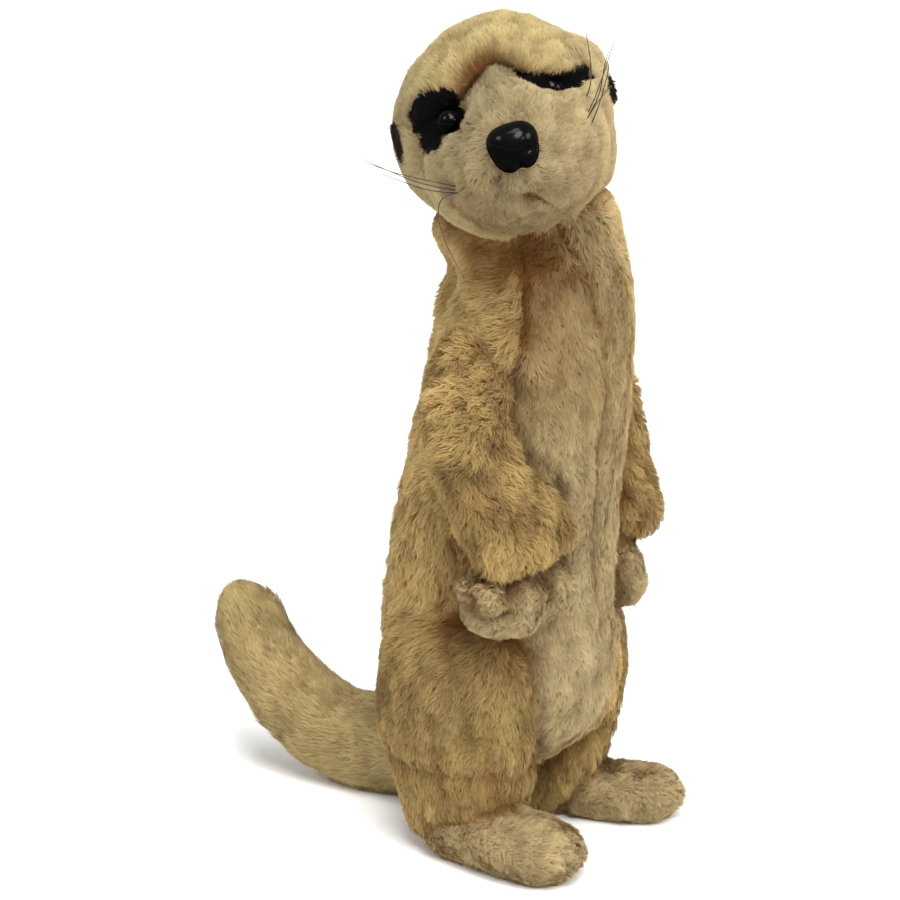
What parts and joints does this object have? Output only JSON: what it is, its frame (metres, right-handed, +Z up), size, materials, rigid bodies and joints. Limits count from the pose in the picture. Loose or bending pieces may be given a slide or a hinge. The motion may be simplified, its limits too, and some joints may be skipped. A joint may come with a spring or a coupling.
{
  "type": "plush meerkat toy",
  "caption": "Stuffed plush meerkat toy standing upright on its feet and tail, head turned and tilted to one side, arms hanging, with moulded nose and eyes.",
  "frame": {"origin": "on the floor, under the middle of the toy's outline seen from above", "axes": "+Z up, -Y the way the toy's body faces, +X its left side"},
  "size_m": [0.1345, 0.2086, 0.3295],
  "materials": {
    "gold_plush": "long wavy golden tan pile, shorter on the head and tail",
    "cream_plush": "short pale beige pile on face, belly, paws and feet",
    "dark_plush": "short dark brown pile on the ears",
    "moulded_black": "glossy black moulded plastic eyes and nose",
    "bristle": "thin black nylon whiskers"
  },
  "bodies": {
    "root": {"head": "gold_plush", "muzzle": "cream_plush", "nose": "moulded_black", "eye_right": "moulded_black", "eye_left": "moulded_black", "ear_right": "dark_plush", "ear_left": "dark_plush", "neck": "gold_plush", "trunk": "gold_plush", "belly": "cream_plush", "arm_right": "gold_plush", "paw_right": "cream_plush", "arm_left": "gold_plush", "paw_left": "cream_plush", "leg_right": "gold_plush", "foot_right": "cream_plush", "leg_left": "gold_plush", "foot_left": "cream_plush", "tail_base": "gold_plush", "tail_middle": "gold_plush", "tail_tip": "gold_plush"}
  },
  "joints": []
}
